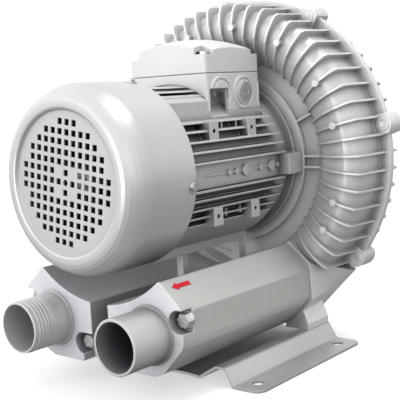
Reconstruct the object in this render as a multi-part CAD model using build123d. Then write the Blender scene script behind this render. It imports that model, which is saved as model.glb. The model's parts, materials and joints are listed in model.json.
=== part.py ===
from build123d import *
import math
import os

# Side channel blower: flange motor, finned impeller casing, twin silencers with
# hose nozzles, folded base plate.
# Frame: origin at the centre of the base plate's four-hole pattern, on the floor
# plane. +Z up, -Y towards the fan end and the nozzles, motor axis along Y.

os.makedirs("parts", exist_ok=True)

# ------------------------------------------------------------------ dimensions
AX = 235.0            # motor axis height above the floor
Y_PART = 129.0        # parting plane of the impeller casing

BASE_X = 165.0        # base plate half width
BASE_Y = 108.0        # base plate half length
BASE_T = 3.0
HOLE_X = 145.0        # fixing holes, half spacing
HOLE_Y = 84.0
HOLE_R = 7.0

R_RIM = 204.0         # casing rim
N_RIB = 57
RIB_T = 2.6
RIB_A0 = 1.0
R_CH = 185.0          # side channel outer wall
R_IMP = 184.0         # impeller tip radius
Y_IMP0, Y_IMP1 = 94.0, 138.0
Y_CH0, Y_CH1 = 73.0, 158.0
STRIP_HALF = 15.0     # stripper half angle, degrees
LUGS_MAIN = (-39.5, 10.8, 60.5, 101.3, 146.0, 190.0, 219.5)

R_NECK, R_REG = 109.0, 98.0
Y_NECK, Y_WEB0, Y_WEB1 = 81.0, 90.0, 97.0

PORT_X, PORT_Z = 76.4, -163.8   # nozzle axis, relative to the motor axis
NOZ_R, NOZ_RI = 30.0, 27.0
Y_NOZ, Y_SIL0, Y_SIL1 = -231.0, -178.0, 61.0
SIL_WALL = 5.0
TIE_POS = ((116.5, -145.3), (30.5, -188.0))

R_BORE = 81.0         # motor housing bore
R_BARREL = 88.0
R_TIP = 100.0         # fin tip circle
Y_M0, Y_M1 = -122.0, 76.0
FIN_T = 2.4

R_COV = 105.2         # fan cover skirt
COV_T = 1.8
Y_COV0, Y_COV1 = -217.0, -122.0
GRID, HOLE_SQ, GRID_A = 10.8, 6.6, 8.0

BOX_X, BOX_Y0, BOX_Y1 = 60.0, -42.0, 62.0
Z_SPLIT = 108.5       # lid joint, relative to the axis

SH_NDE, SH_MID, SH_DE, SH_IMP = 12.5, 18.0, 15.0, 14.0


# --------------------------------------------------------------------- helpers
def up(s):
    return Pos(0, 0, AX) * s


def rev(pts):
    """Solid of revolution about the Y axis from (radius, y) points."""
    with BuildSketch() as sk:
        with BuildLine():
            Polyline(*pts, close=True)
        make_face()
    return revolve(sk.sketch, Axis.Y, 360)


def face_xz(pts, y):
    pl = Plane(origin=(0, y, 0), x_dir=(1, 0, 0), z_dir=(0, -1, 0))
    with BuildSketch(pl) as sk:
        with BuildLine():
            Polyline(*pts, close=True)
        make_face()
    return sk.sketch


def ext(pts, y0, y1):
    """Prism along Y from (x, z) points."""
    return extrude(face_xz(pts, y1), amount=y1 - y0, dir=(0, -1, 0))


def cyl_y(r, y0, y1, x=0.0, z=0.0):
    return Pos(x, (y0 + y1) / 2, z) * Rot(90, 0, 0) * Cylinder(r, y1 - y0)


def cyl_x(r, x0, x1, y=0.0, z=0.0):
    return Pos((x0 + x1) / 2, y, z) * Rot(0, 90, 0) * Cylinder(r, x1 - x0)


def cyl_z(r, z0, z1, x=0.0, y=0.0):
    return Pos(x, y, (z0 + z1) / 2) * Cylinder(r, z1 - z0)


def box(x0, x1, y0, y1, z0, z1):
    return Pos((x0 + x1) / 2, (y0 + y1) / 2, (z0 + z1) / 2) * Box(x1 - x0, y1 - y0, z1 - z0)


def turn(a, s):
    """Rotate about the motor axis so that angle 0 (+X) moves to a (towards +Z)."""
    return Rot(0, -a, 0) * s


def polar(r, a):
    return r * math.cos(math.radians(a)), r * math.sin(math.radians(a))


def fuse(items):
    items = list(items)
    return items[0].fuse(*items[1:]) if len(items) > 1 else items[0]


def mirror_x(s):
    return mirror(s, about=Plane.YZ)


def hex_head(af, h):
    return extrude(RegularPolygon(af / math.sqrt(3), 6), h)


def rnd(face, r, pick):
    """Round picked corners of a planar face."""
    vs = [v for v in face.vertices() if pick(v)]
    return fillet(vs, r)


NODES = {}


def put(name, shape):
    NODES[name] = shape


# ------------------------------------------------------------------ base plate
HUMP = 22.0
FOOT_SX = 111.5        # foot screws
top = [(0, 8), (62, 8), (81, 7), (105, HUMP), (119, HUMP), (130, 3), (BASE_X, 3)]
bot = [(BASE_X, 0), (128.4, 0), (117.3, HUMP - 3), (105.8, HUMP - 3), (82.0, 4), (62, 5), (0, 5)]
right = top + bot
full = [(-x, z) for x, z in reversed(top) if x > 0] + top + bot + [(-x, z) for x, z in reversed(bot) if x > 0]
sheet = face_xz(full, BASE_Y)


def near(v, pts):
    return any(abs(abs(v.X) - x) < 0.01 and abs(v.Z - z) < 0.01 for x, z in pts)


sheet = fillet([v for v in sheet.vertices() if near(v, [(105, HUMP), (119, HUMP), (82.0, 4), (128.4, 0)])], 4.0)
sheet = fillet([v for v in sheet.vertices() if near(v, [(130, 3)])], 4.0)
base = extrude(sheet, amount=2 * BASE_Y, dir=(0, -1, 0))
plan = extrude(RectangleRounded(2 * BASE_X, 2 * BASE_Y, 12), 60)
base = base & plan
for sx in (-1, 1):
    for sy in (-1, 1):
        base -= cyl_z(HOLE_R, -1, 10, sx * HOLE_X, sy * HOLE_Y)
for sx in (-1, 1):
    for y in (68.0, 98.0):
        base -= cyl_z(3.3, 10, 30, sx * FOOT_SX, y)
put("base_plate", base)

screws = []
for sx in (-1, 1):
    for y in (68.0, 98.0):
        s = Pos(sx * FOOT_SX, y, HUMP - 3 - 1.4) * Cylinder(5.2, 1.4, align=(Align.CENTER, Align.CENTER, Align.MIN))
        s += Pos(sx * FOOT_SX, y, HUMP - 3 - 1.4 - 4.0) * hex_head(10, 4.0)
        s += cyl_z(3.0, HUMP - 3, HUMP + 12.5, sx * FOOT_SX, y)
        screws.append(s)
put("base_screws", Compound(children=screws))

# ------------------------------------------------- impeller casing, motor side
with BuildSketch() as sk:
    with BuildLine():
        Line((R_RIM, Y_PART), (R_RIM, 124.8))
        Line((R_RIM, 124.8), (190, 124.8))
        Line((190, 124.8), (190, 91))
        ThreePointArc((190, 91), (185, 76.5), (172, 69.5))
        ThreePointArc((172, 69.5), (149, 73.2), (129, 87))
        Line((129, 87), (129, Y_WEB0))
        Line((129, Y_WEB0), (R_NECK, Y_WEB0))
        Line((R_NECK, Y_WEB0), (R_NECK, Y_NECK))
        Line((R_NECK, Y_NECK), (R_REG, Y_NECK))
        Line((R_REG, Y_NECK), (R_REG, Y_WEB0))
        Line((R_REG, Y_WEB0), (20.0, Y_WEB0))
        Line((20.0, Y_WEB0), (20.0, Y_PART))
        Line((20.0, Y_PART), (R_RIM, Y_PART))
    make_face()
shell = revolve(sk.sketch, Axis.Y, 360)

# port blocks under the casing, one for each silencer
SEC = [(10.0, -141.5), (93.5, -102.5), (123.5, -127.5), (126.0, -173.0), (97.0, -205.0), (10.0, -209.5)]
RIM = [(0.0, -130.0), (110.0, -120.0), (147.0, -147.0), (126.0, -168.0), (89.0, -206.5), (0.0, -206.5)]
blk = loft([face_xz(SEC, Y_SIL1), face_xz(RIM, 124.8)], ruled=True)
blk += ext(RIM, 124.8, Y_PART)
blk = blk - rev([(0, 40), (133, 40), (133, Y_PART + 1), (0, Y_PART + 1)])
blocks = [blk, mirror_x(blk)]

# feet below the casing
foot = ext([(84, -213), (118, -213), (118, -205), (108, -180), (88, -180)], Y_SIL1 + 0.5, 108.0)
foot -= cyl_z(3.1, -214, -200, FOOT_SX, 68.0)
foot -= cyl_z(3.1, -214, -200, FOOT_SX, 98.0)
feet = [foot, mirror_x(foot)]


def rib(pts, a, t=RIB_T):
    with BuildSketch() as s:
        with BuildLine():
            Polyline(*pts, close=True)
        make_face()
    return turn(a, extrude(s.sketch, amount=t / 2, both=True))


RIB_F = [(199, 124.9), (198.2, 112), (197, 71), (194.5, 66), (187, 63.2), (175, 61.6), (160, 63.2), (146, 69.5),
         (136, 77), (127, 85.5), (127, 89.9), (132, 90.2), (150, 75.6), (171, 71.6), (183, 78), (187.5, 91), (187.5, 124.9)]
angles_f = [RIB_A0 + 360.0 / N_RIB * k for k in range(-8, 37)]
angles_f = [a for a in angles_f if -46.0 < a < 226.0]
ribs = [rib(RIB_F, a) for a in angles_f]

# short radial webs on the hub face
webs = []
for a in (24.5, 73.0, 118.0, 156.0, 203.0):
    webs.append(turn(a, box(R_NECK - 2, 131, 82.5, Y_WEB0 + 0.3, -1.5, 1.5)))
for z in (1.9, -11.6):
    webs.append(box(R_NECK - 3, 131, 82.5, Y_WEB0 + 0.3, z - 1.4, z + 1.4))
    webs.append(box(-131, -R_NECK + 3, 82.5, Y_WEB0 + 0.3, z - 1.4, z + 1.4))

# ejector bosses on the ribs
bosses = []
for a in (58.0, 33.0, 14.0, -18.5, -32.0, 83.5, 108.5, 134.0, 159.0, 185.0, 210.0):
    a = RIB_A0 + 360.0 / N_RIB * round((a - RIB_A0) / (360.0 / N_RIB))
    x, z = polar(167.5, a)
    bosses.append(cyl_y(4.2, 60.6, 74, x, z))


def lug(a, y0, y1):
    x, z = polar(200.0, a)
    s = box(187, 214, y0, y1, -12.5, 12.5)
    s = s & turn(0, cyl_y(15.5, y0 - 1, y1 + 1, 198.0, 0))
    return turn(a, s)


lugs = [lug(a, 117.0, Y_PART) for a in LUGS_MAIN]
pads = []
for a in LUGS_MAIN:
    x, z = polar(202.0, a)
    pads.append(cyl_y(8.5, 116.2, 118.0, x, z))

solid = fuse([shell] + blocks + feet + ribs + webs + bosses + lugs + pads)

# side channel with the stripper left standing between the two ports
with BuildSketch() as sk:
    with BuildLine():
        Line((R_CH, Y_PART + 1), (R_CH, 91))
        ThreePointArc((R_CH, 91), (181, 80.5), (171.5, 75))
        ThreePointArc((171.5, 75), (151, 78.2), (133, 90))
        Line((133, 90), (133, Y_PART + 1))
        Line((133, Y_PART + 1), (R_CH, Y_PART + 1))
    make_face()
channel_f = revolve(sk.sketch, Axis.Y, 360)
ws = 240.0
wedge = ext([(0, 0), polar(ws, -90 - STRIP_HALF), polar(ws, -90 + STRIP_HALF)], Y_CH0 - 5, Y_IMP1 + 40)
solid -= (channel_f - wedge)
solid -= rev([(0, Y_WEB1), (126, Y_WEB1), (126, Y_IMP0 - 0.6), (R_CH, Y_IMP0 - 0.6), (R_CH, Y_PART + 1), (0, Y_PART + 1)])
# port passages
for sx in (-1, 1):
    solid -= cyl_y(NOZ_RI, Y_SIL1 - 1, Y_IMP0 - 1.0, sx * PORT_X, PORT_Z)
    for (x, z) in TIE_POS:
        solid -= cyl_y(4.0, Y_SIL1 - 1, 82.0, sx * x, z)
# lug holes
for a in LUGS_MAIN:
    x, z = polar(202.0, a)
    solid -= cyl_y(4.0, 110, Y_PART + 1, x, z)
# countersunk holes for the flange screws
for a in (45, 135, 225, 315):
    x, z = polar(60.0, a)
    solid -= cyl_y(4.1, 88, 98, x, z)
    solid -= Pos(x, 94.7, z) * Rot(-90, 0, 0) * Cone(4.1, 8.8, 4.7)
solid -= cyl_y(20.0, 88, 98)
put("impeller_housing", up(solid))

# -------------------------------------------------------- casing cover, rear
with BuildSketch() as sk:
    with BuildLine():
        Line((R_RIM, Y_PART), (R_RIM, 133.2))
        Line((R_RIM, 133.2), (190, 133.2))
        Line((190, 133.2), (190, 146))
        ThreePointArc((190, 146), (185, 158), (172, 163.5))
        ThreePointArc((172, 163.5), (149, 161), (130, 150))
        Line((130, 150), (60, 144))
        Line((60, 144), (34, 144))
        Line((34, 144), (30, 152))
        Line((30, 152), (0, 153))
        Line((0, 153), (0, Y_PART))
        Line((0, Y_PART), (R_RIM, Y_PART))
    make_face()
cover = revolve(sk.sketch, Axis.Y, 360)
REAR = [(0.0, -130.0), (104.0, -130.0), (132.0, -150.0), (116.0, -166.0), (82.0, -198.0), (0.0, -198.0)]
rblk = ext(RIM, Y_PART, 133.2) + loft([face_xz(RIM, 133.2), face_xz(REAR, 152.0)], ruled=True)
rblk = rblk - rev([(0, 100), (133, 100), (133, 200), (0, 200)])
RIB_R = [(199, 133.1), (198, 150), (196.5, 157), (188, 165), (175, 169.5), (160, 170), (144, 165.5), (128, 154), (60, 147.5), (60, 143.2),
         (131, 148), (150, 158.5), (171, 161), (183, 155.5), (187.5, 146), (187.5, 133.1)]
angles_r = [RIB_A0 + 360.0 / N_RIB * k for k in range(0, N_RIB)]
RIB_RS = [(199, 133.1), (198, 150), (196.5, 157), (188, 165), (175, 169.5), (160, 170), (144, 165.5), (128, 154),
          (128, 148), (150, 158.5), (171, 161), (183, 155.5), (187.5, 146), (187.5, 133.1)]
rear = [rib(RIB_R if (k % 3 == 0) else RIB_RS, a) for k, a in enumerate(angles_r) if not 226.0 <= a <= 314.0]
rlugs = [lug(a, Y_PART, 145.0) for a in LUGS_MAIN]
cov = fuse([cover, rblk, mirror_x(rblk)] + rear + rlugs)
with BuildSketch() as sk:
    with BuildLine():
        Line((R_CH, Y_PART - 1), (R_CH, 145))
        ThreePointArc((R_CH, 145), (181, 154), (171.5, Y_CH1))
        ThreePointArc((171.5, Y_CH1), (151, 156), (133, 147))
        Line((133, 147), (133, Y_PART - 1))
        Line((133, Y_PART - 1), (R_CH, Y_PART - 1))
    make_face()
channel_r = revolve(sk.sketch, Axis.Y, 360)
cov -= (channel_r - wedge)
cov -= rev([(0, Y_PART - 1), (R_CH, Y_PART - 1), (R_CH, Y_IMP1 + 0.6), (126, Y_IMP1 + 0.6), (126, 137.5), (27, 137.5), (27, 147.5), (0, 147.5)])
for a in LUGS_MAIN:
    x, z = polar(202.0, a)
    cov -= cyl_y(4.5, Y_PART - 1, 146, x, z)
    cov -= cyl_y(9.0, 145.0, 180, x, z)
put("casing_cover", up(cov))

bolts = []
for a in LUGS_MAIN:
    x, z = polar(202.0, a)
    b = cyl_y(3.95, 116.0, 145.0, x, z)
    b += Pos(x, 146.6, z) * Rot(90, 0, 0) * Cylinder(8.0, 1.6, align=(Align.CENTER, Align.CENTER, Align.MIN))
    b += Pos(x, 146.6, z) * Rot(-90, 0, 0) * hex_head(13, 5.3)
    bolts.append(b)
put("casing_bolts", up(Compound(children=bolts)))

# ------------------------------------------------------------------- silencers
def sil_face(y, d=0.0):
    """Silencer cross section, right-hand side, shrunk by d."""
    pl = Plane(origin=(0, y, 0), x_dir=(1, 0, 0), z_dir=(0, -1, 0))
    ra = 139.5 + d
    xi = 14.0 + d
    za = -math.sqrt(ra * ra - xi * xi)
    px = 92.5 - 0.25 * d
    pz = -math.sqrt(ra * ra - px * px)
    pm = 54.0
    zm = -math.sqrt(ra * ra - pm * pm)
    xo = 123.0 - d
    with BuildSketch(pl) as sk:
        with BuildLine():
            ThreePointArc((xi, za), (pm, zm), (px, pz))
            Polyline((px, pz), (117.5 - 0.8 * d, -126.5 - 0.75 * d), (xo, -134.5 - 0.4 * d), (xo, -171.5 + 0.4 * d),
                     (92.5 - 0.4 * d, -204.0 + 0.9 * d), (80.0 - 0.1 * d, -209.0 + d), (xi, -209.0 + d), (xi, za))
        make_face()
    return sk.sketch


sil_f = sil_face(Y_SIL1)
sil_f = fillet([v for v in sil_f.vertices() if v.X > 120 and v.Z < -160], 16.0)
sil_f = fillet([v for v in sil_f.vertices() if abs(v.X - 92.5) < 0.5 and v.Z < -200], 12.0)
sil_f = fillet([v for v in sil_f.vertices() if v.X < 20 and v.Z < -200], 4.0)
sil_f = fillet([v for v in sil_f.vertices() if v.X > 115 and v.Z > -136], 4.0)
sil_f = fillet([v for v in sil_f.vertices() if abs(v.X - 92.5) < 0.2 and v.Z > -120], 3.0)
body = extrude(sil_f, amount=Y_SIL1 - Y_SIL0, dir=(0, -1, 0))
cav = extrude(sil_face(Y_SIL1 + 1, SIL_WALL), amount=Y_SIL1 + 1 - (Y_SIL0 + 9), dir=(0, -1, 0))
sil = body - cav
# bolt bosses inside and the open pockets at the front corners
for (x, z) in TIE_POS:
    boss = cyl_y(9.0, Y_SIL0 + 2, Y_SIL1, x, z) & body
    sil += boss
    pk = cyl_y(17.5, Y_SIL0 - 1, Y_SIL0 + 20, x, z) & body
    sil += cyl_y(21.0, Y_SIL0 + 2, Y_SIL0 + 26, x, z) & body
x, z = TIE_POS[0]
sil -= cyl_y(12.4, Y_SIL0 - 1, Y_SIL0 + 17, x, z)
sil -= box(x, 130, Y_SIL0 - 1, Y_SIL0 + 17, z - 12.4, z + 12.4)
x, z = TIE_POS[1]
sil -= cyl_y(12.4, Y_SIL0 - 1, Y_SIL0 + 17, x, z)
sil -= box(0, x, Y_SIL0 - 1, Y_SIL0 + 17, -215, z + 12.4)
for (x, z) in TIE_POS:
    sil -= cyl_y(4.5, Y_SIL0 - 1, Y_SIL1 + 1, x, z)
sil -= cyl_y(31.0, Y_SIL0 - 1, Y_SIL1 + 1, PORT_X, PORT_Z)
sil_r = max(sil.solids(), key=lambda s: s.volume)
put("silencer_right", up(sil_r))
put("silencer_left", up(mirror_x(sil_r)))

foam_f = sil_face(Y_SIL1 - 1.0, SIL_WALL + 0.6)
foam = extrude(foam_f, amount=Y_SIL1 - 1.0 - (Y_SIL0 + 30), dir=(0, -1, 0))
foam -= cyl_y(31.4, Y_SIL0, Y_SIL1, PORT_X, PORT_Z)
for (x, z) in TIE_POS:
    foam -= cyl_y(9.6, Y_SIL0, Y_SIL1 + 1, x, z)
    if x < 60:
        foam -= box(0, x + 9.6, Y_SIL0, Y_SIL1 + 1, -215, z + 9.6)
    else:
        foam -= box(x, 130, Y_SIL0, Y_SIL1 + 1, z - 9.6, z + 30)
foam = max(foam.solids(), key=lambda s: s.volume)
put("silencer_foam_right", up(foam))
put("silencer_foam_left", up(mirror_x(foam)))

tube = rev([(29.0, Y_SIL0 + 31), (30.8, Y_SIL0 + 31), (30.8, Y_SIL1 - 0.2), (29.0, Y_SIL1 - 0.2)])
cuts = []
for i in range(9):
    yy = Y_SIL0 + 48 + i * 21
    for j in range(4):
        cuts.append(Pos(0, yy + (10.5 if j % 2 else 0), 0) * Rot(0, 45 * j, 0) * Cylinder(3.0, 80))
tube = tube - cuts
tube = Pos(PORT_X, 0, PORT_Z) * tube
put("perforated_tube_right", up(tube))
put("perforated_tube_left", up(mirror_x(tube)))

ties = []
for sx in (-1, 1):
    for (x, z) in TIE_POS:
        y0 = Y_SIL0 + 17
        b = cyl_y(3.9, y0, 81.0, sx * x, z)
        b += Pos(sx * x, y0, z) * Rot(90, 0, 0) * Cylinder(9.5, 1.8, align=(Align.CENTER, Align.CENTER, Align.MIN))
        b += Pos(sx * x, y0 - 1.8, z) * Rot(90, 0, 0) * hex_head(14, 7.0)
        ties.append(b)
put("silencer_bolts", up(Compound(children=ties)))

# --------------------------------------------------------------------- nozzles
pipe = [(NOZ_RI, Y_NOZ), (NOZ_R - 0.8, Y_NOZ), (NOZ_R, Y_NOZ + 0.8), (NOZ_R, Y_SIL0 - 2.0), (33.0, Y_SIL0 - 2.0), (33.0, Y_SIL0),
        (30.9, Y_SIL0), (30.9, Y_SIL0 + 30.0), (NOZ_RI, Y_SIL0 + 30.0)]
smooth = rev(pipe)
thr = [(NOZ_RI, Y_NOZ), (NOZ_R - 1.5, Y_NOZ), (NOZ_R - 0.9, Y_NOZ + 1.0)]
yy = Y_NOZ + 6.0
for i in range(5):
    thr += [(NOZ_R - 0.9, yy), (NOZ_R - 0.05, yy + 0.7), (NOZ_R - 0.05, yy + 1.2), (NOZ_R - 0.9, yy + 1.9)]
    yy += 4.6
thr += [(NOZ_R, yy), (NOZ_R, Y_SIL0 - 2.0), (33.0, Y_SIL0 - 2.0), (33.0, Y_SIL0), (30.9, Y_SIL0), (30.9, Y_SIL0 + 30.0), (NOZ_RI, Y_SIL0 + 30.0)]
threaded = rev(thr)
put("outlet_nozzle", up(Pos(PORT_X, 0, PORT_Z) * smooth))
put("inlet_nozzle", up(Pos(-PORT_X, 0, PORT_Z) * threaded))

# --------------------------------------------------------------- motor housing
barrel = rev([(R_BORE - 4, Y_M0), (R_BARREL, Y_M0), (R_BARREL, Y_M1), (R_BORE - 4, Y_M1)])
tip = rev([(0, Y_M0), (R_TIP, Y_M0), (R_TIP, 58), (0, 58)])
fins = []
for z in (54.2, 44.5, 33.3, 22.2, 10.3, -20.7, -30.8, -41.5, -51.0, -60.0):
    fins.append(box(-R_TIP, R_TIP, Y_M0, 58, z - FIN_T / 2, z + FIN_T / 2))
for z in (84.0, 89.5, 95.0):
    fins.append(box(-R_TIP, R_TIP, Y_M0, 52, z - FIN_T / 2, z + FIN_T / 2) & rev([(0, Y_M0), (98.5, Y_M0), (98.5, 52), (0, 52)]))
fin_blk = fuse(fins) & tip
end_cut = Pos(0, -95, 0) * Rot(0, 90, 0) * Cylinder(152, 260)
fin_blk = fin_blk & end_cut
# smooth cheeks beside the terminal box and smooth belly
cheek = rev([(0, Y_M0), (98.0, Y_M0), (98.0, -42.3), (0, -42.3)]) & box(-60.6, 60.6, Y_M0, -42.3, 53, 85.2)
lower = box(-60.6, 60.6, Y_M0, 54, 53, 65.8)
w3 = ext([(0, 0), polar(160, -38.0), polar(160, -68.0), polar(160, -112.0), polar(160, -142.0)], Y_M0, 52)
belly = rev([(70, Y_M0), (97.0, Y_M0), (97.0, 50), (70, 50)])
parts = [barrel, fin_blk, cheek, lower, belly & w3]
# keel rails along the belly
parts.append(box(30, 36, Y_M0, 50, -100, -85))
parts.append(box(-36, -30, Y_M0, 50, -100, -85))
# mounting pads and small ribs on both sides
holes = []
for sx in (-1, 1):
    x0, x1 = (78, 93.5) if sx > 0 else (-93.5, -78)
    for y in (-73.0, -3.0):
        for z0, z1 in ((33.0, 55.0), (-62.0, -41.0)):
            parts.append(box(x0, x1, y - 7.8, y + 7.8, z0, z1))
            holes.append(cyl_x(2.6, sx * 84 if sx > 0 else -100, 100 if sx > 0 else -84, y, (z0 + z1) / 2))
    xr0, xr1 = (70, 83) if sx > 0 else (-83, -70)
    for y in (-46.0, -19.0):
        parts.append(box(xr0, xr1, y - 1.1, y + 1.1, 44.0, 54.0))
        parts.append(box(xr0, xr1, y - 1.1, y + 1.1, -55.0, -46.0))
    # flat band with runner and ejector bosses
    xb0, xb1 = (80, 91.0) if sx > 0 else (-91.0, -80)
    parts.append(box(xb0, xb1, Y_M0, 53, -18.5, 8.0))
    xs = 94.2 * sx
    parts.append(box(min(80 * sx, 92.2 * sx), max(80 * sx, 92.2 * sx), -90, 50, -5.6, -3.4))
    for y, r in ((-49.5, 3.2), (-36.0, 3.2), (-18.9, 6.0), (11.0, 3.6), (33.0, 6.0), (46.0, 3.0)):
        parts.append(cyl_x(r, min(80 * sx, xs), max(80 * sx, xs), y, -4.5))
# saddle for the terminal box
saddle = box(-57, 57, BOX_Y0 + 3, BOX_Y1 - 8, 50, 100.0)
parts.append(saddle)
mot = fuse(parts)
mot -= rev([(0, Y_M0 - 1), (R_BORE, Y_M0 - 1), (R_BORE, Y_M1 + 1), (0, Y_M1 + 1)])
mot -= holes
# flat shoulders beside the terminal box, the hand recess and the arched niche
for sx in (-1, 1):
    a, b = (60.6, 90) if sx > 0 else (-90, -60.6)
    mot -= box(a, b, Y_M0 + 16, 57, 55.4, 90)
    a, b = (57.1, 100) if sx > 0 else (-100, -57.1)
    mot -= box(a, b, BOX_Y0 - 0.2, BOX_Y1 + 0.2, 65.8, 100)
    a, b = (40.0, 62.0) if sx > 0 else (-62.0, -40.0)
    rec = box(a, b, -36.0, -2.5, 55.4, 91) + box(47.5 * sx - 7.5, 47.5 * sx + 7.5, -3, 12.0, 55.4, 80) + cyl_y(7.5, -3, 12.0, 47.5 * sx, 80)
    mot -= rec - rev([(0, -60), (84.0, -60), (84.0, 40), (0, 40)])
# wire passage into the terminal box
mot -= cyl_z(12, 70, 110, 0, 35)
# step for the drive end flange lugs
mot -= box(84.5, 110, 50.6, Y_M1 + 1, -17.5, 8.5)
mot -= box(-110, -84.5, 50.6, Y_M1 + 1, -17.5, 8.5)
for a in (45, 135, 225, 315):
    x, z = polar(84.5, a)
    mot -= cyl_y(2.6, Y_M0 - 1, Y_M0 + 16, x, z)
mot = max(mot.solids(), key=lambda s: s.volume)
put("motor_housing", up(mot))

# ----------------------------------------------------------- drive end flange
fl = rev([(31.04, 58), (41, 58), (41, 77), (80.7, 66), (80.7, Y_M1), (97.7, Y_M1), (97.7, Y_WEB0), (24, Y_WEB0), (24, 76.3), (31.04, 76.3)])
for sx in (-1, 1):
    x0, x1 = (85, 107) if sx > 0 else (-107, -85)
    fl += box(x0, x1, 51.0, 81.0, -17.0, 8.0)
for a in (45, 135, 225, 315):
    x, z = polar(60.0, a)
    fl -= cyl_y(4.0, 70, 91, x, z)
put("drive_end_flange", up(fl))

fs = []
for a in (45, 135, 225, 315):
    x, z = polar(60.0, a)
    s = cyl_y(3.9, 74, 93, x, z)
    s += Pos(x, 94.6, z) * Rot(-90, 0, 0) * Cone(3.9, 8.6, 4.7)
    fs.append(s)
put("flange_screws", up(Compound(children=fs)))

# posts between the motor belly and the silencers
ring = rev([(97.3, -80), (139.2, -80), (139.2, 60.5), (97.3, 60.5)])
posts = []
for sx in (1,):
    for (x0, x1, y0, y1) in ((16.5, 25.5, -62.0, -52.0), (16.5, 27.5, 46.0, 59.0)):
        a, b = (x0, x1) if sx > 0 else (-x1, -x0)
        p = box(a, b, y0, y1, -150, -80) & ring
        if y1 > 52:
            p = p & rev([(98.0, -80), (139.2, -80), (139.2, 60.5), (98.0, 60.5)])
            p += box(a, b, 50.4, y1, -110, -88.3)
        posts.append(p)
put("motor_support_posts", up(Compound(children=posts)))

# -------------------------------------------------------------------- end shield
es = rev([(26.04, -149.5), (33, -149.5), (33, -136), (60, -130), (98, -130), (102.6, -130), (102.6, -124), (98, -124), (98, Y_M0),
          (80.7, Y_M0), (80.7, -114), (74, -114), (74, -124), (34, -130), (26.04, -131.5)])
for a in (45, 135, 225, 315):
    x, z = polar(84.5, a)
    es -= cyl_y(3.0, -135, -110, x, z)
for a in (-6.3, 77.5, 173.7, 257.5):
    es -= turn(a, cyl_x(2.5, 92, 110, -127.0, 0))
put("end_shield", up(es))
ess = []
for a in (45, 135, 225, 315):
    x, z = polar(84.5, a)
    s = cyl_y(2.5, -130, -108, x, z)
    s += cyl_y(4.9, -135, -130, x, z) - cyl_y(2.4, -136, -132, x, z)
    ess.append(s)
put("end_shield_screws", up(Compound(children=ess)))

# --------------------------------------------------------------------- fan cover
outer = [(0, -212.6), (77.0, -212.6), (79.5, -216.4), (81.3, -217.0), (84.6, -217.0), (87.5, -216.8), (91.5, -215.4), (95.5, -212.2), (99.0, -206.8), (102.0, -200.5),
         (104.2, -193.5), (R_COV, -187.5), (R_COV, Y_COV1)]
inner = [(R_COV - COV_T, Y_COV1), (R_COV - COV_T, -187.5), (102.4, -193.0), (100.2, -199.6), (97.3, -205.6), (94.0, -210.8), (90.5, -213.6), (86.6, -214.9),
         (82.2, -215.0), (80.8, -214.5), (78.3, -210.8), (0, -210.8)]
fc = rev(outer + inner)
ROWS = {6: 1, 5: 3, 4: 4, 3: 5, 2: 5, 1: 6, 0: 6, -1: 6, -2: 5, -3: 5, -4: 4, -5: 3, -6: 1}
sq = []
for j, m in ROWS.items():
    for i in range(-m, m + 1):
        if abs(i) == 1 and abs(j) == 1:
            continue
        if i == 0 and j == 0:
            continue
        sq.append(Pos(i * GRID, -212, j * GRID) * Box(HOLE_SQ, 8, HOLE_SQ))
sq = [turn(-GRID_A, s) for s in sq]
fc = fc - sq - cyl_y(3.5, -216, -208)
for a in (-6.3, 77.5, 173.7, 257.5):
    fc -= turn(a, cyl_x(2.9, 98, 110, -127.0, 0))
    fc -= turn(a, box(98, 110, -127.0, Y_COV1 + 1, -2.9, 2.9))
put("fan_cover", up(fc))

fcs = []
for a in (-6.3, 77.5, 173.7, 257.5):
    s = cyl_x(2.4, 93, R_COV + 1.0, -127.0, 0)
    s += cyl_x(6.5, R_COV + 0.1, R_COV + 1.1, -127.0, 0)
    s += cyl_x(4.6, R_COV + 1.1, R_COV + 3.8, -127.0, 0)
    s -= box(R_COV + 2.6, R_COV + 5, -131, -123, -0.6, 0.6)
    s -= box(R_COV + 2.6, R_COV + 5, -127.6, -126.4, -4, 4)
    fcs.append(turn(a, s))
put("fan_cover_screws", up(Compound(children=fcs)))

# ------------------------------------------------------------------ terminal box
tb = box(-BOX_X, BOX_X, BOX_Y0, BOX_Y1, 66.0, Z_SPLIT)
vert = tb.edges().filter_by(Axis.Z)
tb = fillet(vert, 4.0)
tb -= box(-BOX_X + 4, BOX_X - 4, BOX_Y0 + 4, BOX_Y1 - 4, 104.0, Z_SPLIT + 1)
# round cable entries on both flanks
ENTRY = ((28.6, 85.4), (-15.0, 85.4))
for sx in (-1, 1):
    for (y, z) in ENTRY:
        a = BOX_X * sx
        tb += cyl_x(20.0, min(a - 4 * sx, a + 1.6 * sx), max(a - 4 * sx, a + 1.6 * sx), y, z) & box(-90, 90, BOX_Y0 + 2, BOX_Y1 - 2, 66.0, Z_SPLIT - 0.5)
        tb -= cyl_x(17.0, min(a + 0.4 * sx, a + 3 * sx), max(a + 0.4 * sx, a + 3 * sx), y, z)
        tb += cyl_x(14.5, min(a, a + 2.2 * sx), max(a, a + 2.2 * sx), y, z)
    # lower front recess with an arched niche
    x0, x1 = (34, 70) if sx > 0 else (-70, -34)
    tb -= box(x0, x1, -36.0, -2.5, 40, 91)
    # rear corner rib
    r0, r1 = (BOX_X - 2, BOX_X + 2.2) if sx > 0 else (-BOX_X - 2.2, -BOX_X + 2)
    tb += box(r0, r1, 55.0, 57.5, 66.0, 97.0)
    tb -= cyl_x(10.1, min(40 * sx, 70 * sx), max(40 * sx, 70 * sx), 28.6, 85.4)
tb -= rev([(0, BOX_Y0 - 1), (98.8, BOX_Y0 - 1), (98.8, BOX_Y1 + 1), (0, BOX_Y1 + 1)]) & box(-57.2, 57.2, BOX_Y0 - 2, BOX_Y1 + 2, 0, 110)
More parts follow.
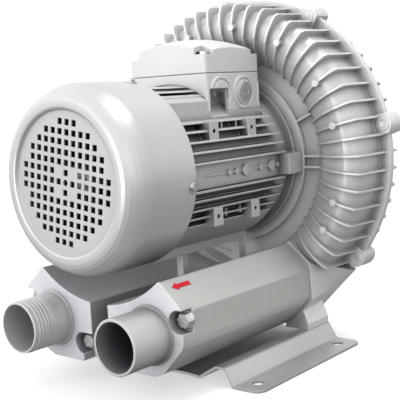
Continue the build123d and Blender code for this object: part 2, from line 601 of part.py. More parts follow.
tb -= box(-57.2, 57.2, BOX_Y0 + 2.8, BOX_Y1 - 7.8, 40, 100.2)
tb -= cyl_z(12, 90, 106, 0, 35)
for sx in (-1, 1):
    for y in (BOX_Y0 + 9, BOX_Y1 - 9):
        tb += cyl_z(6.2, 101, Z_SPLIT, sx * 50.5, y)
        tb -= cyl_z(2.2, 102, Z_SPLIT + 1, sx * 50.5, y)
tb = max(tb.solids(), key=lambda s: s.volume)
put("terminal_box_base", up(tb))

gk = box(-BOX_X + 1.5, BOX_X - 1.5, BOX_Y0 + 1.5, BOX_Y1 - 1.5, Z_SPLIT, Z_SPLIT + 1.2) - box(-BOX_X + 5, BOX_X - 5, BOX_Y0 + 5, BOX_Y1 - 5, Z_SPLIT - 1, Z_SPLIT + 3)
for sx in (-1, 1):
    for y in (BOX_Y0 + 9, BOX_Y1 - 9):
        gk += cyl_z(5.9, Z_SPLIT, Z_SPLIT + 1.2, sx * 50.5, y)
        gk -= cyl_z(2.4, Z_SPLIT - 1, Z_SPLIT + 3, sx * 50.5, y)
put("lid_gasket", up(gk))

ZL = Z_SPLIT + 1.2


def lid_face(y, zc, zm, xw, zb):
    pl = Plane(origin=(0, y, 0), x_dir=(1, 0, 0), z_dir=(0, -1, 0))
    with BuildSketch(pl) as s:
        with BuildLine():
            Line((-xw, zb), (xw, zb))
            Line((xw, zb), (xw, zc))
            ThreePointArc((xw, zc), (0, zm), (-xw, zc))
            Line((-xw, zc), (-xw, zb))
        make_face()
    return s.sketch


YM = (BOX_Y0 + BOX_Y1) / 2
lid = loft([lid_face(BOX_Y0, 133.0, 146.0, BOX_X, ZL), lid_face(YM, 139.0, 152.0, BOX_X, ZL), lid_face(BOX_Y1, 133.0, 146.0, BOX_X, ZL)])
lid_plan = extrude(Pos(0, YM, 100) * RectangleRounded(2 * BOX_X, BOX_Y1 - BOX_Y0, 4.0), 80)
lid = lid & lid_plan
lid_in = loft([lid_face(BOX_Y0 + 4, 128.0, 141.5, BOX_X - 4, ZL - 1), lid_face(YM, 133.5, 147.0, BOX_X - 4, ZL - 1), lid_face(BOX_Y1 - 4, 128.0, 141.5, BOX_X - 4, ZL - 1)])
lid_posts = []
for sx in (-1, 1):
    for y in (BOX_Y0 + 9, BOX_Y1 - 9):
        lid_posts.append(cyl_z(7.0, ZL, 131, sx * 50.5, y))
lid = (lid - lid_in) + fuse(lid_posts)
for sx in (-1, 1):
    for y in (BOX_Y0 + 9, BOX_Y1 - 9):
        sy = -1 if y < YM else 1
        xc, yc = sx * 50.5, y
        lid -= box(min(xc - sx * 6.5, sx * 75), max(xc - sx * 6.5, sx * 75), min(yc - sy * 6.5, yc + sy * 30), max(yc - sy * 6.5, yc + sy * 30), 131.0, 165)
        lid -= cyl_z(2.5, 100, 140, xc, yc)
lid = max(lid.solids(), key=lambda s: s.volume)
put("terminal_box_lid", up(lid))

ls = []
for sx in (-1, 1):
    for y in (BOX_Y0 + 9, BOX_Y1 - 9):
        s = cyl_z(2.1, 103, 131, sx * 50.5, y) + cyl_z(4.8, 131, 134.6, sx * 50.5, y)
        s -= Pos(sx * 50.5, y, 134.2) * Box(1.1, 12, 1.6)
        ls.append(s)
put("lid_screws", up(Compound(children=ls)))

plugs = []
for sx in (-1, 1):
    a = BOX_X * sx
    s = cyl_x(9.95, min(a - 2.6 * sx, a + 2.2 * sx), max(a - 2.6 * sx, a + 2.2 * sx), 28.6, 85.4)
    s += cyl_x(12.0, min(a + 2.2 * sx, a + 4.0 * sx), max(a + 2.2 * sx, a + 4.0 * sx), 28.6, 85.4)
    s -= box(min(a + 3 * sx, a + 6 * sx), max(a + 3 * sx, a + 6 * sx), 22.6, 34.6, 84.4, 86.4)
    plugs.append(s)
put("cable_entry_plugs", up(Compound(children=plugs)))

tbk = box(-24, 24, -14, 20, 104.0, 112.0) + box(-24, 24, -14, -10, 104.0, 118.0) + box(-24, 24, 16, 20, 104.0, 118.0)
for x in (-15, 0, 15):
    for y in (-4, 10):
        tbk -= cyl_z(2.1, 106, 120, x, y)
put("terminal_block", up(tbk))
st = []
for x in (-15, 0, 15):
    for y in (-4, 10):
        s = cyl_z(2.0, 107, 123, x, y) + Pos(x, y, 114.2) * hex_head(7, 3.2)
        st.append(s)
put("terminal_studs", up(Compound(children=st)))
lk = []
for x in (-15, 0, 15):
    s = box(x - 3.5, x + 3.5, -8, 14, 112.6, 114.0)
    for y in (-4, 10):
        s -= cyl_z(2.2, 110, 118, x, y)
    lk.append(s)
put("terminal_links", up(Compound(children=lk)))
es_ = cyl_z(2.0, 104.1, 116, 40, 0) + cyl_z(4.6, 108.5, 111.5, 40, 0) + cyl_z(6.0, 104.1, 108.5, 40, 0)
put("earth_screw", up(es_))

# ----------------------------------------------------------------- stator, wires
Y_ST0, Y_ST1 = -92.0, 8.0
core = rev([(45.5, Y_ST0), (80.8, Y_ST0), (80.8, Y_ST1), (45.5, Y_ST1)])
slots = [turn(15.0 * k, box(50.0, 68.0, Y_ST0 - 1, Y_ST1 + 1, -3.0, 3.0)) for k in range(24)]
slots += [turn(15.0 * k, box(44.0, 51.0, Y_ST0 - 1, Y_ST1 + 1, -1.2, 1.2)) for k in range(24)]
core = core - slots
put("stator_core", up(core))
wind = [rev([(51.5, Y_ST1 + 0.5), (70, Y_ST1 + 0.5), (73, Y_ST1 + 6), (73, Y_ST1 + 16), (70, Y_ST1 + 22), (54, Y_ST1 + 22), (51.5, Y_ST1 + 16)]),
        rev([(51.5, Y_ST0 - 0.5), (70, Y_ST0 - 0.5), (73, Y_ST0 - 6), (73, Y_ST0 - 12), (70, Y_ST0 - 18), (54, Y_ST0 - 18), (51.5, Y_ST0 - 12)])]
wind += [turn(15.0 * k, box(51.6, 67.6, Y_ST0 - 1, Y_ST1 + 1, -2.7, 2.7)) for k in range(24)]
put("stator_windings", up(fuse(wind)))

# ------------------------------------------------------------------------- rotor
rc = rev([(SH_MID, Y_ST0), (44.9, Y_ST0), (44.9, Y_ST1), (SH_MID, Y_ST1)])
rc += rev([(30, Y_ST0 - 7), (44.0, Y_ST0 - 7), (44.0, Y_ST0), (30, Y_ST0)])
rc += rev([(30, Y_ST1), (44.0, Y_ST1), (44.0, Y_ST1 + 7), (30, Y_ST1 + 7)])
for k in range(8):
    rc += turn(45 * k, box(32, 43, Y_ST0 - 13, Y_ST0, -1.5, 1.5))
    rc += turn(45 * k, box(32, 43, Y_ST1, Y_ST1 + 13, -1.5, 1.5))
put("rotor_core", up(rc))

shaft = rev([(0, -189), (9, -189), (10, -188), (10, -185.95), (9.4, -185.95), (9.4, -184.75), (10, -184.75), (10, -151), (SH_NDE, -151), (SH_NDE, -133),
             (SH_MID, -133), (SH_MID, 58.0), (SH_DE + 2.5, 58.0), (SH_DE + 2.5, 59.5), (SH_DE, 59.5), (SH_DE, 77.0), (SH_IMP, 77.0), (SH_IMP, 132.5), (0, 132.5)])
shaft -= cyl_y(5.0, 104, 134)
shaft -= box(-4, 4, 101.0, 134, 10.0, 20)
put("shaft", up(shaft))

imp = rev([(SH_IMP, 98.5), (27, 98.5), (29, 112), (124, 114), (124, 97.5), (128, 97.5), (128, Y_IMP1 - 4), (124, Y_IMP1 - 4), (124, 118), (29, 120), (27, 133), (SH_IMP, 133)])
imp += rev([(127, 114.5), (R_IMP, 114.5), (R_IMP, 117.5), (127, 117.5)])
blades = [turn(360.0 / 46 * k, box(127.0, R_IMP - 0.3, Y_IMP0, Y_IMP1, -1.4, 1.4)) for k in range(46)]
imp = imp.fuse(*blades)
imp -= box(-4, 4, 98, 134, 8.0, 17.3)
put("impeller", up(imp))
put("impeller_key", up(box(-3.95, 3.95, 101.2, 132.3, 10.1, 17.1)))
put("impeller_washer", up(rev([(5.3, 133.0), (19, 133.0), (19, 136.0), (5.3, 136.0)])))
ib = cyl_y(4.9, 106, 136.0) + Pos(0, 136.0, 0) * Rot(-90, 0, 0) * hex_head(16, 6.4)
put("impeller_bolt", up(ib))

fan = rev([(10.02, -184.6), (18, -184.6), (20, -166), (80, -160.5), (80, -158.0), (20, -161.0), (16, -156), (10.02, -156)])
vanes = [turn(45.0 * k, box(17.0, 79.0, -192.0, -160.2, -1.3, 1.3)) for k in range(8)]
vcut = rev([(0, -200), (24, -200), (24, -185.0), (0, -185.0)])
fan = fan.fuse(*vanes) - vcut
put("cooling_fan", up(fan))
cc = rev([(9.45, -185.9), (12.4, -185.9), (12.4, -184.8), (9.45, -184.8)])
cc -= box(7, 14, -187, -183, -2, 2)
put("fan_circlip", up(cc))

# ---------------------------------------------------------------------- bearings


def bearing(ri, ro, y0, y1, pitch, rb, n):
    yc = (y0 + y1) / 2
    rg = rb + 0.06
    tor = Pos(0, yc, 0) * Rot(90, 0, 0) * Torus(pitch, rg)
    inner_r = rev([(ri, y0), (pitch - 0.62 * rb, y0), (pitch - 0.62 * rb, y1), (ri, y1)]) - tor
    outer_r = rev([(pitch + 0.62 * rb, y0), (ro, y0), (ro, y1), (pitch + 0.62 * rb, y1)]) - tor
    balls = [turn(360.0 / n * k, Pos(pitch, yc, 0) * Sphere(rb)) for k in range(n)]
    h = rb + 1.0
    cage = rev([(pitch - 0.36 * rb, yc - h), (pitch + 0.36 * rb, yc - h), (pitch + 0.36 * rb, yc + h), (pitch - 0.36 * rb, yc + h)])
    cage = cage - [turn(360.0 / n * k, cyl_x(rb + 0.12, pitch - 6, pitch + 6, yc, 0)) for k in range(n)]
    return inner_r, outer_r, Compound(children=balls), cage


bi, bo, bb, bc = bearing(SH_NDE, 26.0, -148.0, -133.0, 19.25, 3.97, 9)
put("nde_bearing_inner_ring", up(bi))
put("nde_bearing_outer_ring", up(bo))
put("nde_bearing_balls", up(bb))
put("nde_bearing_cage", up(bc))
bi, bo, bb, bc = bearing(SH_DE, 31.0, 60.0, 76.0, 23.0, 4.76, 9)
put("de_bearing_inner_ring", up(bi))
put("de_bearing_outer_ring", up(bo))
put("de_bearing_balls", up(bb))
put("de_bearing_cage", up(bc))
put("bearing_spring_washer", up(rev([(21.5, -149.4), (25.6, -149.4), (25.6, -148.1), (21.5, -148.1)])))
put("shaft_seal", up(rev([(14.06, 90.4), (19.95, 90.4), (19.95, 96.8), (15.5, 96.8), (15.5, 93.5), (14.06, 93.5)])))

# flow arrow plate on the sloped top of the outlet silencer
n = Vector(0.66, 0, 0.75).normalized()
cx, cz = 101.5, -112.84
pl = Plane(origin=(cx, -153.0, cz), x_dir=(0, 1, 0), z_dir=(n.X, 0, n.Z))
with BuildSketch(pl) as sk:
    with BuildLine():
        Polyline((-14, 0), (-6, -4.9), (-6, -2.6), (14, -2.7), (14, 2.7), (-6, 2.6), (-6, 4.9), close=True)
    make_face()
arrow = extrude(sk.sketch, amount=0.5)
put("flow_arrow", up(Pos(n.X * 0.4, 0, n.Z * 0.4) * arrow))

# ------------------------------------------------------------------------ output
for name, shape in NODES.items():
    shape.label = name
    export_step(shape, "parts/" + name + ".step")
print(len(NODES), "nodes written")
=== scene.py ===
import json
import math

import bmesh
import bpy
from mathutils import Matrix, Vector

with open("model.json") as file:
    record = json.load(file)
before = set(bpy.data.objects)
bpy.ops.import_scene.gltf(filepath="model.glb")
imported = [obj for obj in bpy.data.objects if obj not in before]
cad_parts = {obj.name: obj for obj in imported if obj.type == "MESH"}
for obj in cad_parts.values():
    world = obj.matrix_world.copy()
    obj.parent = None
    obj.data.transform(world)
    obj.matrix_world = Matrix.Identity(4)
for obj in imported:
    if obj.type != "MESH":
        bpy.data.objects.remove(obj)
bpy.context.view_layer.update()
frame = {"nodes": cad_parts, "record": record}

nodes = frame["nodes"]
AX = 0.235


# ------------------------------------------------------------------- shader kit
class Mat:
    """A small helper around one procedural material."""

    def __init__(self, name):
        self.m = bpy.data.materials.new(name)
        self.m.use_nodes = True
        self.t = self.m.node_tree
        self.t.nodes.clear()
        self.out = self.t.nodes.new("ShaderNodeOutputMaterial")
        self.b = self.t.nodes.new("ShaderNodeBsdfPrincipled")
        self.t.links.new(self.b.outputs[0], self.out.inputs[0])
        self.tc = self.t.nodes.new("ShaderNodeTexCoord")

    def link(self, a, b):
        self.t.links.new(a, b)

    def scale(self, sx, sy, sz):
        n = self.t.nodes.new("ShaderNodeMapping")
        n.inputs["Scale"].default_value = (sx, sy, sz)
        self.link(self.tc.outputs["Object"], n.inputs["Vector"])
        return n.outputs[0]

    def noise(self, scale, detail=4.0, rough=0.55, vec=None, dist=0.0):
        n = self.t.nodes.new("ShaderNodeTexNoise")
        n.inputs["Scale"].default_value = scale
        n.inputs["Detail"].default_value = detail
        n.inputs["Roughness"].default_value = rough
        n.inputs["Distortion"].default_value = dist
        self.link(vec if vec is not None else self.tc.outputs["Object"], n.inputs["Vector"])
        return n.outputs["Fac"]

    def voronoi(self, scale, feature="F1", vec=None):
        n = self.t.nodes.new("ShaderNodeTexVoronoi")
        n.feature = feature
        n.inputs["Scale"].default_value = scale
        self.link(vec if vec is not None else self.tc.outputs["Object"], n.inputs["Vector"])
        return n.outputs["Distance"]

    def ramp(self, fac, stops):
        n = self.t.nodes.new("ShaderNodeValToRGB")
        r = n.color_ramp
        while len(r.elements) < len(stops):
            r.elements.new(0.5)
        for e, (p, c) in zip(r.elements, stops):
            e.position = p
            e.color = (c, c, c, 1) if isinstance(c, (int, float)) else (*c, 1)
        self.link(fac, n.inputs[0])
        return n.outputs[0]

    def mix(self, fac, a, b, mode="MIX"):
        n = self.t.nodes.new("ShaderNodeMix")
        n.data_type = "RGBA"
        n.blend_type = mode
        for sock, v in ((n.inputs[0], fac), (n.inputs[6], a), (n.inputs[7], b)):
            if isinstance(v, (int, float)) and sock is n.inputs[0]:
                sock.default_value = v
            elif isinstance(v, tuple):
                sock.default_value = (*v, 1)
            elif isinstance(v, (int, float)):
                sock.default_value = (v, v, v, 1)
            else:
                self.link(v, sock)
        return n.outputs[2]

    def math(self, op, a, b=0.0, clamp=False):
        n = self.t.nodes.new("ShaderNodeMath")
        n.operation = op
        n.use_clamp = clamp
        for sock, v in ((n.inputs[0], a), (n.inputs[1], b)):
            if isinstance(v, (int, float)):
                sock.default_value = v
            else:
                self.link(v, sock)
        return n.outputs[0]

    def maprange(self, v, a0, a1, b0, b1):
        n = self.t.nodes.new("ShaderNodeMapRange")
        self.link(v, n.inputs[0])
        for k, x in enumerate((a0, a1, b0, b1)):
            n.inputs[k + 1].default_value = x
        return n.outputs[0]

    def bump(self, height, dist, strength=1.0, normal=None):
        n = self.t.nodes.new("ShaderNodeBump")
        n.inputs["Distance"].default_value = dist
        n.inputs["Strength"].default_value = strength
        self.link(height, n.inputs["Height"])
        if normal is not None:
            self.link(normal, n.inputs["Normal"])
        return n.outputs[0]

    def bevel(self, radius, samples=4):
        n = self.t.nodes.new("ShaderNodeBevel")
        n.samples = samples
        n.inputs["Radius"].default_value = radius
        return n.outputs[0]

    def cavity(self, dist, samples=4):
        """1 on open surfaces, towards 0 in recesses; the mask for the painted shade in the recesses."""
        n = self.t.nodes.new("ShaderNodeAmbientOcclusion")
        n.samples = samples
        n.inputs["Distance"].default_value = dist
        return n.outputs["AO"]

    def edge(self, radius, samples=4):
        """1 on edges, 0 on flats: how far a bevelled normal leans from the true one."""
        g = self.t.nodes.new("ShaderNodeNewGeometry")
        d = self.t.nodes.new("ShaderNodeVectorMath")
        d.operation = "DOT_PRODUCT"
        self.link(self.bevel(radius, samples), d.inputs[0])
        self.link(g.outputs["Normal"], d.inputs[1])
        return self.maprange(d.outputs["Value"], 0.99, 0.80, 0.0, 1.0)


def cast(name, base, rough=0.42, metallic=0.55, warm=0.0, edge_r=0.0011, edge_wear_highlight_gain=0.16, grain=1.0, mottle=0.05, coat=0.0, recess_shade=0.55, recess_shade_dist=0.016, shade_tint=(0.16, 0.16, 0.17), spec=0.5, shade_cut_z=None, front=None, hub_shade=0.0):
    """Silver paint over a die casting: fine pigment grain, faint flow marks, edges lightened partly as wear and partly
    as painted highlight, painted shade in the recesses, a little dust in roughness.
    """
    m = Mat(name)
    big = m.noise(9.0, 3.0, 0.5)
    mid = m.noise(70.0, 4.0, 0.6)
    fine = m.noise(900.0, 2.0, 0.6)
    spark = m.voronoi(1900.0)
    c = m.ramp(big, [(0.30, tuple(x * (1 - mottle) for x in base)), (0.70, tuple(min(1, x * (1 + mottle)) for x in base))])
    c = m.mix(m.maprange(mid, 0.35, 0.65, 0.0, 0.10), c, tuple(x * 0.86 for x in base))
    c = m.mix(m.maprange(fine, 0.52, 0.75, 0.0, 0.12 * grain), c, tuple(min(1.0, x * 1.25) for x in base))
    if front is not None:
        # painted light: the end faces, turned towards -Y, are painted paler and slightly bluish as lit faces, against
        # the flanks
        g = m.t.nodes.new("ShaderNodeNewGeometry")
        sn = m.t.nodes.new("ShaderNodeSeparateXYZ")
        m.link(g.outputs["Normal"], sn.inputs[0])
        f = m.maprange(sn.outputs["Y"], -0.9, -0.6, 1.0, 0.0)
        c = m.mix(m.math("MULTIPLY", f, m.maprange(mid, 0.3, 0.7, 0.85, 1.0), True), c, front)
    # painted shade: recesses found by the ambient occlusion mask are darkened towards the base colour times the shade
    # tint
    if recess_shade > 0:
        ao = m.cavity(recess_shade_dist)
        d = m.maprange(ao, 0.15, 0.85, recess_shade, 0.0)
        if shade_cut_z is not None:
            # painted shade: above this height the recess darkening is cut to about a fifth, so the upper fin shoulders
            # stay light while the fin gaps below stay dark
            sep = m.t.nodes.new("ShaderNodeSeparateXYZ")
            m.link(m.tc.outputs["Object"], sep.inputs[0])
            d = m.math("MULTIPLY", d, m.maprange(sep.outputs["Z"], shade_cut_z, shade_cut_z + 0.008, 1.0, 0.22), True)
        if hub_shade > 0:
            # painted shade: within about 0.1 m of the shaft axis, behind the motor, the surface is darkened as if it
            # lay in shade
            off = m.t.nodes.new("ShaderNodeVectorMath")
            off.operation = "MULTIPLY_ADD"
            m.link(m.tc.outputs["Object"], off.inputs[0])
            off.inputs[1].default_value = (1, 0, 1)
            off.inputs[2].default_value = (0, 0, -0.235)
            ln = m.t.nodes.new("ShaderNodeVectorMath")
            ln.operation = "LENGTH"
            m.link(off.outputs["Vector"], ln.inputs[0])
            d = m.math("MAXIMUM", d, m.maprange(ln.outputs["Value"], 0.094, 0.106, hub_shade, 0.0))
        c = m.mix(d, c, tuple(x * t for x, t in zip(base, shade_tint)))
    # edges lightened: partly wear, partly a painted highlight along rims and creases
    if edge_wear_highlight_gain > 0:
        e = m.edge(edge_r)
        e2 = m.math("MULTIPLY", e, m.maprange(mid, 0.25, 0.6, 0.55, 1.0), True)
        c = m.mix(m.math("MULTIPLY", e2, edge_wear_highlight_gain * 4.0, True), c, tuple(min(1.0, x * 1.22 + 0.08) for x in base))
    m.link(c, m.b.inputs["Base Color"])
    r = m.maprange(mid, 0.3, 0.7, rough - 0.05, rough + 0.06)
    r = m.math("ADD", r, m.maprange(fine, 0.3, 0.7, -0.04 * grain, 0.04 * grain), True)
    m.link(r, m.b.inputs["Roughness"])
    m.b.inputs["Metallic"].default_value = metallic
    m.b.inputs["Coat Weight"].default_value = coat
    m.b.inputs["Specular IOR Level"].default_value = spec
    m.b.inputs["Coat Roughness"].default_value = 0.35
    n = m.bevel(edge_r)
    h = m.math("ADD", m.math("MULTIPLY", fine, 0.6), m.math("MULTIPLY", mid, 0.8))
    h = m.math("ADD", h, m.math("MULTIPLY", spark, 0.25 * grain))
    n = m.bump(h, 0.00012 * grain, 0.55, n)
    m.link(n, m.b.inputs["Normal"])
    return m.m


def steel(name, base, rough=0.3, brush=(1.0, 1.0, 1.0), metallic=1.0, edge_r=0.0004):
    m = Mat(name)
    v = m.scale(*brush)
    streak = m.noise(260.0, 3.0, 0.6, v)
    fine = m.noise(1400.0, 2.0, 0.6)
    c = m.ramp(streak, [(0.3, tuple(x * 0.88 for x in base)), (0.7, tuple(min(1, x * 1.06) for x in base))])
    e = m.edge(edge_r)
    c = m.mix(m.math("MULTIPLY", e, 0.5, True), c, tuple(min(1.0, x * 1.2 + 0.05) for x in base))
    m.link(c, m.b.inputs["Base Color"])
    m.link(m.maprange(streak, 0.3, 0.7, rough - 0.06, rough + 0.08), m.b.inputs["Roughness"])
    m.b.inputs["Metallic"].default_value = metallic
    n = m.bump(m.math("ADD", streak, m.math("MULTIPLY", fine, 0.4)), 0.00006, 0.5, m.bevel(edge_r))
    m.link(n, m.b.inputs["Normal"])
    return m.m


def soft(name, base, rough=0.6, bumpy=0.0002, scale=500.0, spread=0.12):
    m = Mat(name)
    a = m.noise(scale, 4.0, 0.6)
    b = m.noise(scale * 0.08, 3.0, 0.5)
    c = m.ramp(b, [(0.3, tuple(x * (1 - spread) for x in base)), (0.7, tuple(min(1, x * (1 + spread)) for x in base))])
    c = m.mix(m.maprange(a, 0.4, 0.7, 0.0, 0.25), c, tuple(min(1, x * 1.4 + 0.01) for x in base))
    m.link(c, m.b.inputs["Base Color"])
    m.link(m.maprange(a, 0.3, 0.7, rough - 0.07, min(1.0, rough + 0.08)), m.b.inputs["Roughness"])
    m.link(m.bump(a, bumpy, 0.6), m.b.inputs["Normal"])
    return m.m


def lamination(name):
    m = Mat(name)
    w = m.t.nodes.new("ShaderNodeTexWave")
    w.bands_direction = "Y"
    w.inputs["Scale"].default_value = 320.0
    w.inputs["Distortion"].default_value = 0.2
    m.link(m.tc.outputs["Object"], w.inputs["Vector"])
    n1 = m.noise(140.0)
    c = m.ramp(w.outputs["Fac"], [(0.2, (0.10, 0.10, 0.11)), (0.8, (0.24, 0.24, 0.25))])
    c = m.mix(m.maprange(n1, 0.4, 0.7, 0, 0.4), c, (0.16, 0.13, 0.11))
    m.link(c, m.b.inputs["Base Color"])
    m.link(m.maprange(n1, 0.3, 0.7, 0.4, 0.6), m.b.inputs["Roughness"])
    m.b.inputs["Metallic"].default_value = 0.8
    m.link(m.bump(w.outputs["Fac"], 0.0001, 0.6), m.b.inputs["Normal"])
    return m.m


def winding(name):
    m = Mat(name)
    w = m.t.nodes.new("ShaderNodeTexWave")
    w.bands_direction = "DIAGONAL"
    w.inputs["Scale"].default_value = 420.0
    w.inputs["Distortion"].default_value = 2.5
    w.inputs["Detail"].default_value = 2.0
    m.link(m.tc.outputs["Object"], w.inputs["Vector"])
    c = m.ramp(w.outputs["Fac"], [(0.1, (0.16, 0.05, 0.02)), (0.9, (0.55, 0.22, 0.08))])
    m.link(c, m.b.inputs["Base Color"])
    m.link(m.maprange(w.outputs["Fac"], 0, 1, 0.45, 0.28), m.b.inputs["Roughness"])
    m.b.inputs["Metallic"].default_value = 0.7
    m.link(m.bump(w.outputs["Fac"], 0.0004, 0.8), m.b.inputs["Normal"])
    return m.m


# in the cast finishes below, the recess darkening is painted shade and the lightened edges are partly wear, partly
# painted highlight
MAT = {
    "cast_aluminium": cast("cast_aluminium", (0.66, 0.66, 0.65), rough=0.46, metallic=0.5, recess_shade=0.82, recess_shade_dist=0.028, edge_r=0.0013, edge_wear_highlight_gain=0.24, spec=0.6),
    "motor_casting": cast("motor_casting", (0.52, 0.52, 0.514), rough=0.42, metallic=0.5, recess_shade=0.97, recess_shade_dist=0.03, edge_r=0.0014, edge_wear_highlight_gain=0.6, shade_tint=(0.06, 0.06, 0.07), shade_cut_z=0.291),
    "terminal_casting": cast("terminal_casting", (0.62, 0.625, 0.62), rough=0.5, metallic=0.35, recess_shade=0.45, recess_shade_dist=0.012, edge_r=0.0014, edge_wear_highlight_gain=0.7),
    "cover_paint": cast("cover_paint", (0.535, 0.535, 0.528), rough=0.40, metallic=0.45, edge_r=0.0008, grain=0.6, coat=0.1, recess_shade=1.0, recess_shade_dist=0.05, shade_tint=(0.03, 0.03, 0.06)),
    "base_steel": cast("base_steel", (0.50, 0.50, 0.495), rough=0.38, metallic=0.6, edge_r=0.0008, grain=0.7, mottle=0.07),
    "zinc_fastener": steel("zinc_fastener", (0.70, 0.70, 0.69), 0.3),
    "foam": soft("foam", (0.05, 0.05, 0.055), 0.95, 0.0012, 420.0, 0.3),
    "perforated_steel": steel("perforated_steel", (0.55, 0.55, 0.55), 0.35, (1, 6, 1)),
    "lamination_steel": lamination("lamination_steel"),
    "rotor_alloy": cast("rotor_alloy", (0.50, 0.50, 0.50), rough=0.5, metallic=0.9),
    "winding_copper": winding("winding_copper"),
    "ground_steel": steel("ground_steel", (0.66, 0.66, 0.67), 0.2, (1, 8, 1)),
    "impeller_alloy": cast("impeller_alloy", (0.62, 0.62, 0.62), rough=0.4, metallic=0.9),
    "fan_plastic": soft("fan_plastic", (0.015, 0.015, 0.030), 0.5),
    "seal_rubber": soft("seal_rubber", (0.02, 0.02, 0.02), 0.75),
    "terminal_moulding": soft("terminal_moulding", (0.03, 0.03, 0.032), 0.45),
    "brass": steel("brass", (0.70, 0.50, 0.20), 0.3),
    "arrow_red": soft("arrow_red", (0.50, 0.0, 0.01), 0.8, 0.00005, 900.0, 0.04),
}

# the same finishes as lit and shaded copies, one per piece: darker bases and stronger painted shade in the bores and
# under the motor, painted shade round the shaft axis, painted light on the silencers' -Y end faces
DEEP_SHADE_TINT = (0.045, 0.04, 0.075)
MAT_NODE = {
    "impeller_housing": cast("cast_housing", (0.70, 0.70, 0.69), rough=0.47, metallic=0.5, recess_shade=0.86, recess_shade_dist=0.03, edge_r=0.0013, edge_wear_highlight_gain=0.24, spec=0.6, hub_shade=0.85),
    "drive_end_flange": cast("cast_flange", (0.58, 0.58, 0.57), rough=0.42, metallic=0.5, recess_shade=0.9, recess_shade_dist=0.03, edge_wear_highlight_gain=0.3, hub_shade=0.7),
    "lid_gasket": soft("gasket_grey", (0.30, 0.30, 0.30), 0.7),
    "silencer_right": cast("cast_silencer_r", (0.50, 0.50, 0.49), metallic=0.4, recess_shade=0.85, recess_shade_dist=0.06, shade_tint=(0.09, 0.09, 0.17), front=(0.80, 0.80, 0.83), edge_r=0.0022, edge_wear_highlight_gain=0.30),
    "silencer_left": cast("cast_silencer_l", (0.55, 0.55, 0.56), metallic=0.4, recess_shade=0.85, recess_shade_dist=0.06, shade_tint=(0.09, 0.09, 0.17), front=(0.80, 0.80, 0.83), edge_r=0.0022, edge_wear_highlight_gain=0.30),
    "outlet_nozzle": cast("cast_nozzle_r", (0.50, 0.50, 0.50), rough=0.5, metallic=0.25, recess_shade=1.0, recess_shade_dist=0.09, shade_tint=DEEP_SHADE_TINT, spec=0.15),
    "inlet_nozzle": cast("cast_nozzle_l", (0.56, 0.56, 0.565), rough=0.5, metallic=0.3, recess_shade=0.80, recess_shade_dist=0.05, shade_tint=(0.16, 0.16, 0.20)),
}

SLOT_OF = {s["node"]: s["material_slot"] for s in frame["record"]["subparts"]}
for name, obj in nodes.items():
    obj.data.materials.clear()
    obj.data.materials.append(MAT_NODE.get(name, MAT[SLOT_OF[name]]))

# ---------------------------------------------------------------------- stage
def floor_material():
    m = Mat("studio_floor")
    n1 = m.noise(3.0, 3.0, 0.5)
    n2 = m.noise(160.0, 2.0, 0.5)
    c = m.ramp(n1, [(0.3, (0.49, 0.49, 0.495)), (0.7, (0.51, 0.51, 0.51))])
    m.link(c, m.b.inputs["Base Color"])
    m.link(m.maprange(n2, 0.3, 0.7, 0.75, 0.85), m.b.inputs["Roughness"])
    m.link(m.bump(n2, 0.0001, 0.2), m.b.inputs["Normal"])
    m.b.inputs["Specular IOR Level"].default_value = 0.2
    m.b.inputs["Emission Color"].default_value = (1, 1, 1, 1)
    m.b.inputs["Emission Strength"].default_value = 0.52
    return m.m


bm = bmesh.new()
prof = [(-6.0, 0.0), (3.0, 0.0)]
R = 2.0
for k in range(1, 17):
    a = math.pi / 2 * k / 16
    prof.append((3.0 + R * math.sin(a), R - R * math.cos(a)))
prof.append((5.0, 9.0))
# the sweep runs along the viewing azimuth so that the backdrop stands behind the object
AZ = math.radians(40.209)
fx, fy = -math.sin(AZ), math.cos(AZ)
rx, ry = math.cos(AZ), math.sin(AZ)
rows = []
for (d, h) in prof:
    row = []
    for s in (-9.0, 9.0):
        row.append(bm.verts.new((fx * d + rx * s, fy * d + ry * s, h)))
    rows.append(row)
for a, b in zip(rows, rows[1:]):
    bm.faces.new((a[0], a[1], b[1], b[0]))
me = bpy.data.meshes.new("studio_sweep")
bm.to_mesh(me)
bm.free()
for p in me.polygons:
    p.use_smooth = True
sweep = bpy.data.objects.new("studio_sweep", me)
bpy.context.scene.collection.objects.link(sweep)
me.materials.append(floor_material())
# a plain surround of the same paper closes the room in every other direction
bm = bmesh.new()
ring_prof = [(7.0, -0.004)] + [(7.0 + 2.0 * math.sin(math.pi / 2 * k / 8), 2.0 - 2.0 * math.cos(math.pi / 2 * k / 8) - 0.004) for k in range(1, 9)] + [(9.0, 14.0)]
N_SEG = 96
middle = bm.verts.new((0, 0, -0.004))
rings = [[bm.verts.new((r_ * math.cos(2 * math.pi * i / N_SEG), r_ * math.sin(2 * math.pi * i / N_SEG), h)) for i in range(N_SEG)] for (r_, h) in ring_prof]
for i in range(N_SEG):
    bm.faces.new((middle, rings[0][i], rings[0][(i + 1) % N_SEG]))
for a, b in zip(rings, rings[1:]):
    for i in range(N_SEG):
        j = (i + 1) % N_SEG
        bm.faces.new((a[i], b[i], b[j], a[j]))
me2 = bpy.data.meshes.new("studio_surround")
bm.to_mesh(me2)
bm.free()
for p in me2.polygons:
    p.use_smooth = True
surround = bpy.data.objects.new("studio_surround", me2)
bpy.context.scene.collection.objects.link(surround)
me2.materials.append(floor_material())
for flag in ("visible_diffuse", "visible_glossy", "visible_transmission", "visible_shadow"):
    setattr(surround, flag, False)
# the sweep shows and takes shadows, but throws no light back up on the object
sweep.visible_diffuse = False
sweep.visible_glossy = False

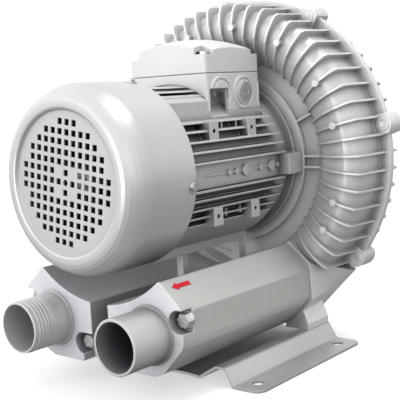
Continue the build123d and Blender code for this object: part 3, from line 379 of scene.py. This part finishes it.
# --------------------------------------------------------------------- lights
w = bpy.data.worlds.new("studio")
bpy.context.scene.world = w
w.use_nodes = True
wt = w.node_tree
wt.nodes.clear()
wo = wt.nodes.new("ShaderNodeOutputWorld")
bg = wt.nodes.new("ShaderNodeBackground")
wt.links.new(bg.outputs[0], wo.inputs[0])
wc = wt.nodes.new("ShaderNodeTexCoord")


def lean(direction):
    n = wt.nodes.new("ShaderNodeVectorMath")
    n.operation = "DOT_PRODUCT"
    wt.links.new(wc.outputs["Generated"], n.inputs[0])
    n.inputs[1].default_value = Vector(direction).normalized()
    return n.outputs["Value"]


def wramp(v, stops):
    mr = wt.nodes.new("ShaderNodeMapRange")
    wt.links.new(v, mr.inputs[0])
    mr.inputs[1].default_value, mr.inputs[2].default_value = -1.0, 1.0
    n = wt.nodes.new("ShaderNodeValToRGB")
    while len(n.color_ramp.elements) < len(stops):
        n.color_ramp.elements.new(0.5)
    for el, (p, c) in zip(n.color_ramp.elements, stops):
        el.position = p
        el.color = (*c, 1)
    wt.links.new(mr.outputs[0], n.inputs[0])
    return n.outputs[0]


# a soft room: bright towards the upper left front, dim on the right and below
side = wramp(lean((-0.42, -0.86, 0.28)), [(0.0, (0.54, 0.54, 0.53)), (0.45, (0.68, 0.68, 0.67)), (0.8, (0.97, 0.97, 0.97)), (1.0, (1.0, 1.0, 1.0))])
rise = wramp(lean((0, 0, 1)), [(0.0, (0.20, 0.20, 0.20)), (0.46, (0.36, 0.36, 0.355)), (0.54, (1.0, 1.0, 1.0)), (1.0, (0.72, 0.72, 0.72))])
mul = wt.nodes.new("ShaderNodeMix")
mul.data_type = "RGBA"
mul.blend_type = "MULTIPLY"
mul.inputs[0].default_value = 1.0
wt.links.new(side, mul.inputs[6])
wt.links.new(rise, mul.inputs[7])
wt.links.new(mul.outputs[2], bg.inputs[0])
bg.inputs[1].default_value = 1.88


def area(name, loc, target, size, power, color=(1, 1, 1), size_y=None):
    l = bpy.data.lights.new(name, "AREA")
    l.shape = "RECTANGLE" if size_y else "SQUARE"
    l.size = size
    if size_y:
        l.size_y = size_y
    l.energy = power
    l.color = color
    o = bpy.data.objects.new(name, l)
    bpy.context.scene.collection.objects.link(o)
    o.location = loc
    d = Vector(target) - Vector(loc)
    o.rotation_mode = "QUATERNION"
    o.rotation_quaternion = d.to_track_quat("-Z", "Y")
    return o


T = (0.0, 0.0, 0.2)
area("key_front_left", (-1.3, -2.6, 2.0), T, 1.4, 5.0)
area("top_soft", (0.55, 0.5, 2.6), T, 0.8, 24.0)
area("front_low", (-0.5, -3.0, 0.12), (0, 0, 0.1), 1.0, 26.0, (0.92, 0.94, 1.0))
area("strip_right", (2.6, -1.4, 0.9), T, 1.7, 9.0, size_y=2.2)

# --------------------------------------------------------------------- camera
a, e, r = math.radians(40.209), math.radians(7.008), math.radians(-3.251)
fwd = Vector((-math.sin(a) * math.cos(e), math.cos(a) * math.cos(e), -math.sin(e)))
right = Vector((math.cos(a), math.sin(a), 0))
up = right.cross(fwd)
R2 = math.cos(r) * right + math.sin(r) * up
U2 = -math.sin(r) * right + math.cos(r) * up
cam_data = bpy.data.cameras.new("camera")
cam_data.lens = 855.81 * 36.0 / 400.0
cam_data.sensor_width = 36.0
cam_data.clip_start = 0.05
cam_data.clip_end = 60.0
cam = bpy.data.objects.new("camera", cam_data)
bpy.context.scene.collection.objects.link(cam)
cam.matrix_world = Matrix((
    (R2.x, U2.x, -fwd.x, 0.69065),
    (R2.y, U2.y, -fwd.y, -0.81064),
    (R2.z, U2.z, -fwd.z, 0.31981),
    (0, 0, 0, 1),
))
bpy.context.scene.camera = cam

bpy.context.scene.view_settings.view_transform = "Standard"

bpy.context.view_layer.update()
